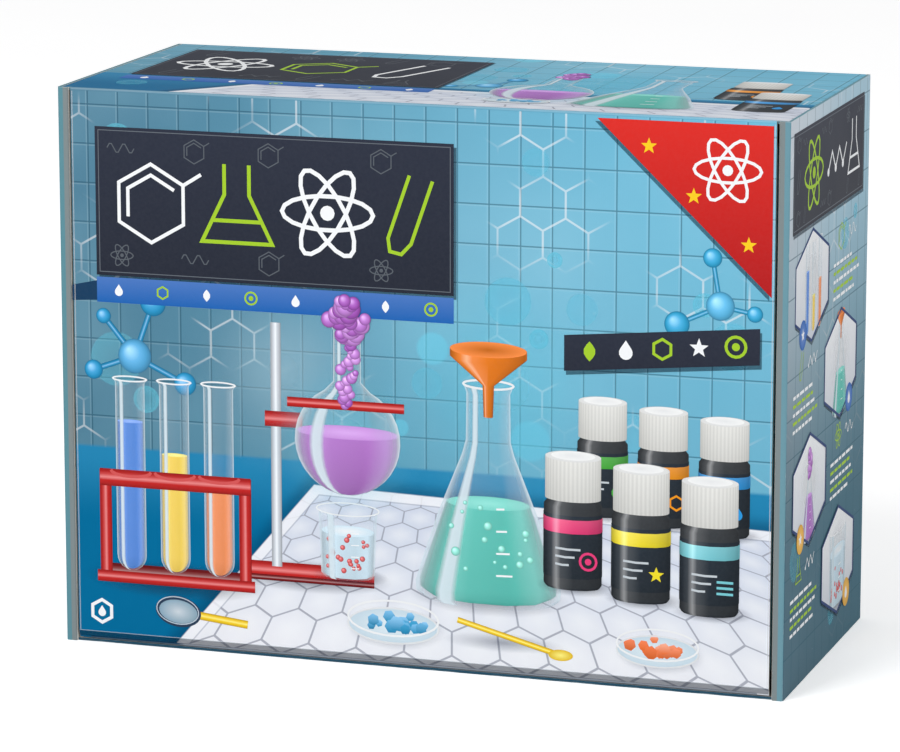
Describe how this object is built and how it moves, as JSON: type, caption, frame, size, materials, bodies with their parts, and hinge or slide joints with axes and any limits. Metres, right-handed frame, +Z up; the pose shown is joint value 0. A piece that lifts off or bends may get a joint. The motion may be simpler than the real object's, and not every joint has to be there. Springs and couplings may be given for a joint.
{
  "type": "chemistry set case",
  "caption": "Printed board carton with a hinged tuck-in front lid, shelves inside and laboratory kit pieces.",
  "frame": {"origin": "on the ground, under the middle of the closed case", "axes": "+X along the case's width to the right of its front, +Y to the back, +Z up"},
  "size_m": [0.38, 0.17, 0.288],
  "materials": {
    "printed_board": "coated print over white-lined fluted board",
    "insert_board": "uncoated white-lined board",
    "booklet_paper": "printed booklet",
    "red_plastic": "translucent red, glossy",
    "white_plastic": "opaque white, moulded",
    "green_plastic": "opaque green, moulded",
    "orange_plastic": "opaque orange, moulded",
    "purple_plastic": "opaque purple, moulded",
    "clear_plastic": "clear, glossy",
    "blue_plastic": "opaque blue, moulded",
    "pipette_plastic": "milky, soft",
    "yellow_plastic": "opaque yellow, moulded",
    "coloured_powder": "loose powder and coloured water"
  },
  "bodies": {
    "root": {"back_panel": "printed_board", "beaker": "clear_plastic", "bottle_1": "clear_plastic", "bottle_2": "clear_plastic", "bottle_3": "clear_plastic", "bottle_4": "clear_plastic", "bottle_5": "clear_plastic", "bottle_6": "clear_plastic", "bottle_contents": "coloured_powder", "bottom_wall": "printed_board", "corner_flaps": "printed_board", "dosing_bottle": "white_plastic", "dropper_1": "clear_plastic", "dropper_2": "clear_plastic", "flask": "clear_plastic", "floor_board": "insert_board", "goggles_visor": "clear_plastic", "insert_left_board": "insert_board", "insert_right_board": "insert_board", "instruction_booklet": "booklet_paper", "lab_frame": "red_plastic", "lab_tank": "clear_plastic", "left_side_wall": "printed_board", "lower_divider": "insert_board", "magnifier_frame": "blue_plastic", "magnifier_lens": "clear_plastic", "middle_shelf": "insert_board", "orange_funnel": "orange_plastic", "petri_dish": "clear_plastic", "petri_lid": "clear_plastic", "pipette": "pipette_plastic", "purple_funnel": "purple_plastic", "right_side_wall": "printed_board", "side_clip": "white_plastic", "spatula": "yellow_plastic", "test_tube_1": "clear_plastic", "test_tube_2": "clear_plastic", "test_tube_3": "clear_plastic", "test_tube_4": "clear_plastic", "top_wall": "printed_board", "tower_sleeves": "red_plastic", "tube_rack": "red_plastic", "tube_stopper": "purple_plastic", "upper_divider": "insert_board", "upper_shelf": "insert_board"},
    "lid": {"lid_panel": "printed_board"},
    "tuck_flap": {"lid_tuck_flap": "printed_board"},
    "left_ear": {"lid_left_ear": "printed_board"},
    "right_ear": {"lid_right_ear": "printed_board"},
    "dosing_cap": {"dosing_cap": "green_plastic"},
    "left_temple": {"goggles_left_temple": "blue_plastic"},
    "right_temple": {"goggles_right_temple": "blue_plastic"},
    "bottle_cap_1": {"bottle_cap_1": "white_plastic"},
    "bottle_cap_2": {"bottle_cap_2": "white_plastic"},
    "bottle_cap_3": {"bottle_cap_3": "white_plastic"},
    "bottle_cap_4": {"bottle_cap_4": "white_plastic"},
    "bottle_cap_5": {"bottle_cap_5": "white_plastic"},
    "bottle_cap_6": {"bottle_cap_6": "white_plastic"},
    "dropper_cap_1": {"dropper_cap_1": "orange_plastic"},
    "dropper_cap_2": {"dropper_cap_2": "blue_plastic"}
  },
  "joints": [
    {"name": "lid_hinge", "type": "hinge", "parent": "root", "child": "lid", "pos_m": [0, -0.085, 0.288], "axis": [-1, 0, 0], "range_deg": [0, 180]},
    {"name": "tuck_flap_hinge", "type": "hinge", "parent": "lid", "child": "tuck_flap", "pos_m": [0, -0.084, 0.0018], "axis": [-1, 0, 0], "range_deg": [0, 45]},
    {"name": "left_ear_hinge", "type": "hinge", "parent": "lid", "child": "left_ear", "pos_m": [-0.1813, -0.0835, 0.144], "axis": [0, 0, -1], "range_deg": [0, 4]},
    {"name": "right_ear_hinge", "type": "hinge", "parent": "lid", "child": "right_ear", "pos_m": [0.1813, -0.0835, 0.144], "axis": [0, 0, 1], "range_deg": [0, 4]},
    {"name": "dosing_cap_turn", "type": "hinge", "parent": "root", "child": "dosing_cap", "pos_m": [-0.075, -0.037, 0.07855], "axis": [0, 0, 1], "range_deg": [0, 360]},
    {"name": "left_temple_hinge", "type": "hinge", "parent": "root", "child": "left_temple", "pos_m": [-0.15495, -0.03229, 0.25475], "axis": [0, 0, -1], "range_deg": [0, 90]},
    {"name": "right_temple_hinge", "type": "hinge", "parent": "root", "child": "right_temple", "pos_m": [-0.01535, -0.02729, 0.25475], "axis": [0, 0, 1], "range_deg": [0, 90]},
    {"name": "bottle_cap_1_turn", "type": "hinge", "parent": "root", "child": "bottle_cap_1", "pos_m": [-0.1553, -0.05, 0.15125], "axis": [0, 0, 1], "range_deg": [0, 360]},
    {"name": "bottle_cap_2_turn", "type": "hinge", "parent": "root", "child": "bottle_cap_2", "pos_m": [-0.1173, -0.05, 0.15125], "axis": [0, 0, 1], "range_deg": [0, 360]},
    {"name": "bottle_cap_3_turn", "type": "hinge", "parent": "root", "child": "bottle_cap_3", "pos_m": [-0.0793, -0.05, 0.15125], "axis": [0, 0, 1], "range_deg": [0, 360]},
    {"name": "bottle_cap_4_turn", "type": "hinge", "parent": "root", "child": "bottle_cap_4", "pos_m": [-0.0413, -0.05, 0.15125], "axis": [0, 0, 1], "range_deg": [0, 360]},
    {"name": "bottle_cap_5_turn", "type": "hinge", "parent": "root", "child": "bottle_cap_5", "pos_m": [-0.0033, -0.05, 0.15125], "axis": [0, 0, 1], "range_deg": [0, 360]},
    {"name": "bottle_cap_6_turn", "type": "hinge", "parent": "root", "child": "bottle_cap_6", "pos_m": [0.0347, -0.05, 0.15125], "axis": [0, 0, 1], "range_deg": [0, 360]},
    {"name": "dropper_cap_1_turn", "type": "hinge", "parent": "root", "child": "dropper_cap_1", "pos_m": [0.0667, -0.05, 0.15125], "axis": [0, 0, 1], "range_deg": [0, 360]},
    {"name": "dropper_cap_2_turn", "type": "hinge", "parent": "root", "child": "dropper_cap_2", "pos_m": [0.0927, -0.05, 0.15125], "axis": [0, 0, 1], "range_deg": [0, 360]}
  ],
  "couplings": [
    {"joint": "tuck_flap_hinge", "follows": "lid_hinge", "ratio": 0.25}
  ]
}
